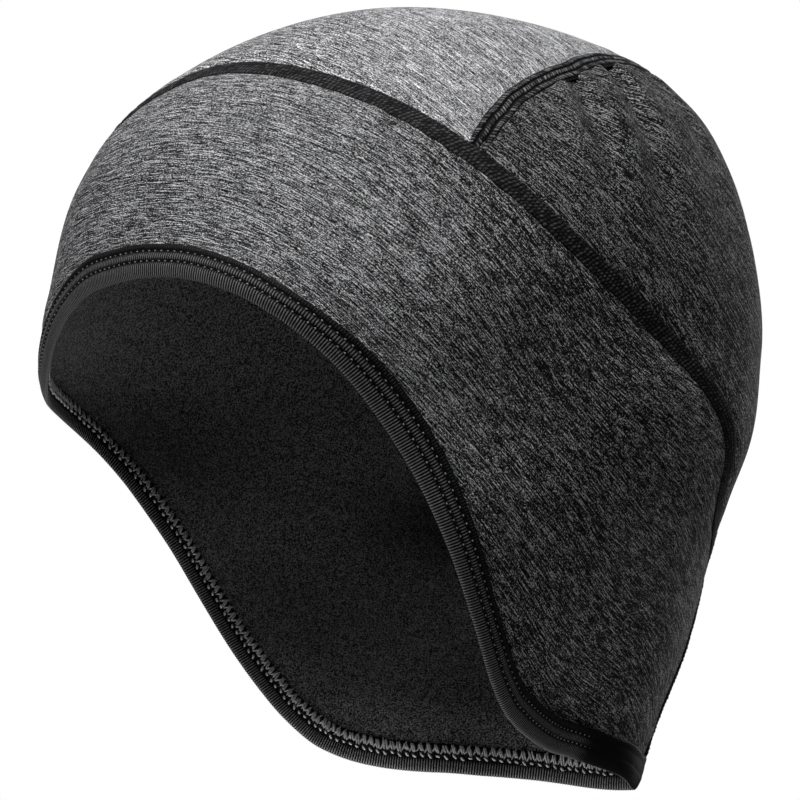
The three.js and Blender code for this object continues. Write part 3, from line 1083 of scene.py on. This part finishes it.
def looped_thread(name, dark, light, hollow):
    material, shader = cloth_shader(name, 0.85, 0.0, 0.08)
    tree = material.node_tree
    place = Wire(tree, tree.nodes.new("ShaderNodeTexCoord").outputs["Object"])
    mark = tree.nodes.new("ShaderNodeAttribute")
    mark.attribute_name = "crest"
    twist = place.noise((0.32, 0.32, 0.32), detail=2.0, roughness=0.6)
    patch = place.noise((1.6, 1.6, 1.6), detail=2.0, roughness=0.6)
    shade = Wire(tree, mark.outputs["Fac"]) * 1.2 + twist * 1.4 + patch * 0.6 - hollow
    linked(shader, "Base Color", shade.between(0, 1).mixed(grey(dark), grey(light)))
    bumped(shader, twist, 0.12)
    return material


crown_thread = looped_thread("dark looped thread", dark=0.003, light=0.075, hollow=1.25)
strip_turns, _ = even_turns(crown_seam_line, -180, 180, round(seam_run[-1] * 2 / (loop_pitch / 4)))
crown_strip = seam_strip("crown_seam_loops", crown_seam_line, strip_turns, seam_half, loops_over)
bpy.ops.object.shade_smooth_by_angle(angle=math.radians(60))
finished(crown_strip, crown_thread, "crown_seam")


# Cross seam
# The flatlock seam over the back of the top: three soft ribs of woven cover thread with rows of dark needle
# stitches sunk between and beside them, and a black band along its lower edge that is a painted shadow. The
# gathered back panel makes it snake a little.
cross_start = 73.6
cross_columns = 1500
cross_half = 3.2
# The strip reaches further down than the ribs, to carry the painted shadow below them
cross_middle = -0.9
rib_half = 2.85
rib_middle = -0.55
rib_rows = 3


def three_ribs(run, offset):
    """Three ribs of slanted cover thread, and below the lowest one a black band that paints the shadow of
    the seam's edge.
    """
    row = (offset - rib_middle) / (2 * rib_half) * rib_rows + rib_rows / 2
    index = np.floor(row)
    inside = (row > 0) & (row < rib_rows)
    within = np.abs(np.sin(math.pi * row)) * inside
    slant = np.where(index % 2 == 0, 0.55, -0.5)
    wobble = 0.3 * np.sin(run / 1.9 + 2 * index) + 0.2 * np.sin(run / 0.83 + index)
    turned = run / 1.0 + offset * slant + wobble
    cover = (0.5 + 0.5 * np.cos(2 * math.pi * turned)) ** 0.8
    weave = 0.5 + 0.5 * np.cos(2 * math.pi * (run / 0.7 - offset * slant * 1.8 - wobble))
    rib = np.minimum(1.3 * within, 1) ** 0.8
    knots = scatter(np.floor(turned + 0.5), index)
    crest = rib**2 * (0.1 + cover * (0.2 + 0.85 * knots) + 0.3 * weave * cover)
    return 0.38 * rib + 0.24 * cover * rib * (0.4 + 0.6 * knots) - 0.36, crest


strip_turns, _ = even_turns(cross_seam_line, cross_start, 360 - cross_start, cross_columns)
cross_strip = seam_strip(
    "cross_seam_ribs",
    cross_seam_line,
    strip_turns,
    cross_half,
    three_ribs,
    wander=0.25,
    middle=cross_middle,
    ends=True,
)
bpy.ops.object.shade_smooth_by_angle(angle=math.radians(60))
cover_thread = looped_thread("grey cover thread", dark=0.002, light=0.2, hollow=1.45)
finished(cross_strip, cover_thread, "cross_seam")


# Back seam
# The narrow dark seam that closes the band at the centre back, from the crown seam down to the binding.
back_half = 1.9
back_height = 0.7
back_middle = 0.8
back_columns = 260
back_steps_across = 12


def back_seam_columns():
    low = beside_line(hem_line, np.array(180.0), lay_at(180.0, binding_width, True) - 0.8)[1]
    high = beside_line(crown_seam_line, np.array(180.0), -seam_half - 0.3)[1]
    climbs = np.linspace(low, high, back_columns)
    run = lengths_along(outer_point(np.full_like(climbs, 180.0), climbs), 0)[:, None]
    across, on_top = strip_section(back_steps_across)
    width = np.linalg.norm(wall_steps(np.full_like(climbs, 180.0), climbs)[0], axis=-1)[:, None]
    offset = across[None, :] * back_half + back_middle
    dome = 1 - np.abs(across[None, :]) ** 3
    bump, mark = loops_over(run, offset)
    low_end = 0.5 + 0.5 * smooth_step(0.5, 2.0, run)
    rise = np.where(on_top[None, :], (back_height + bump) * dome * low_end, -under_cloth)
    points = with_closed_ends(wall_point(180 - offset / width, climbs[:, None] + 0 * rise, -rise))
    uv = np.stack(np.broadcast_arrays(run, offset), -1)
    return points, uv, {"crest": np.broadcast_to(mark, rise.shape) * on_top[None, :]}


back_strip = laid_grid("back_seam_loops", *back_seam_columns())
bpy.ops.object.shade_smooth_by_angle(angle=math.radians(60))
finished(back_strip, crown_thread, "back_seam")


# Floor
# A wide pale floor under the cap, which hangs over it as a head would hold it. It looks as pale far from
# the lights as near them, and what it throws back on the cap is only their light.
bpy.ops.mesh.primitive_plane_add(size=12, location=(0, 0, -1.2))
floor = bpy.context.object
floor.name = "floor"
floor_paint, floor_shader = cloth_shader("pale floor", 0.9, 0.0)
floor_shader.inputs["Base Color"].default_value = (0.8, 0.8, 0.8, 1)
floor_tree = floor_paint.node_tree
seen = Wire(floor_tree, floor_tree.nodes.new("ShaderNodeLightPath").outputs["Is Camera Ray"])
linked(floor_shader, "Emission Color", seen.mixed(grey(0), grey(0.55, 1.0)))
floor_shader.inputs["Emission Strength"].default_value = 1.0
floor.data.materials.append(floor_paint)
floor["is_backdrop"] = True


# Camera
# A long lens from the wearer's left front and a little below, level with the lower edge of the cap.
view = {
    "turn": 61.9,
    "rise": -9.4,
    "roll": -2.7,
    "distance": 842.0,
    "focus": 3217.6,
    "x": 416.28,
    "y": 366.28,
}
image_side = 800
sensor = 36.0
turn_angle, rise_angle, roll = (math.radians(view[k]) for k in ("turn", "rise", "roll"))
back = np.array(
    [
        math.sin(turn_angle) * math.cos(rise_angle),
        -math.cos(turn_angle) * math.cos(rise_angle),
        math.sin(rise_angle),
    ]
)
right = np.array([math.cos(turn_angle), math.sin(turn_angle), 0])
upward = np.cross(back, right)
camera_x = right * math.cos(roll) + upward * math.sin(roll)
camera_y = upward * math.cos(roll) - right * math.sin(roll)
bpy.ops.object.camera_add()
camera = bpy.context.object
camera.name = "camera"
middle = np.array([0, 0, lift])
pose = np.eye(4)
pose[:3, 0], pose[:3, 1], pose[:3, 2] = camera_x, camera_y, back
pose[:3, 3] = (back * view["distance"] + middle) * metres
camera.matrix_world = Matrix(pose.tolist())
camera.data.sensor_width = sensor
camera.data.lens = view["focus"] * sensor / image_side
camera.data.shift_x = (image_side / 2 - view["x"]) / image_side
camera.data.shift_y = (view["y"] - image_side / 2) / image_side
camera.data.clip_start = 0.05
bpy.context.scene.camera = camera


# Lights
# A soft key from the upper left, weaker soft lights above and behind, and a white room that only lights a
# little.
def soft_light(name, towards, distance, size, power):
    """An area light in the camera's own directions (right, up, towards the camera), aimed at the cap."""
    direction = unit(np.array(towards[0] * camera_x + towards[1] * camera_y + towards[2] * back))
    bpy.ops.object.light_add(type="AREA")
    light = bpy.context.object
    light.name = name
    side = unit(np.cross([0.0, 0.0, 1.0], direction))
    stand = np.eye(4)
    stand[:3, 0], stand[:3, 1], stand[:3, 2] = side, np.cross(direction, side), direction
    stand[:3, 3] = direction * distance + middle * metres
    light.matrix_world = Matrix(stand.tolist())
    light.data.energy = power
    light.data.size = size


high_lights = [
    {"name": "key light", "towards": (-0.37, 0.84, 0.4), "power": 17.8},
    {"name": "top light", "towards": (0.3, 0.86, 0.41), "power": 4.0},
    {"name": "rear top light", "towards": (0.3, 0.94, -0.18), "power": 2.8},
    {"name": "edge light", "towards": (0.66, 0.37, -0.66), "power": 2.85},
    {"name": "rear edge light", "towards": (0.53, 0.01, -0.85), "power": 3.6},
    {"name": "fill light", "towards": (-0.3, 0.5, 0.8), "power": 1.0},
]
for row in high_lights:
    soft_light(distance=1.2, size=0.3, **row)

# Two small ones below, which light the fleece inside
soft_light("low light", (-0.1, -0.97, 0.22), distance=0.17, size=0.1, power=0.085)
soft_light("low front light", (-0.5, -0.85, 0.15), distance=0.2, size=0.1, power=0.2)

world = bpy.data.worlds.new("white room")
world.use_nodes = True
bpy.context.scene.world = world
room = Wire(world.node_tree, world.node_tree.nodes.new("ShaderNodeLightPath").outputs["Is Camera Ray"])
glow = world.node_tree.nodes["Background"]
glow.inputs["Color"].default_value = (1, 1, 1, 1)
world.node_tree.links.new((room * 0.995 + 0.005).socket, glow.inputs["Strength"])
bpy.context.scene.view_settings.view_transform = "Standard"

low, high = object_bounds()
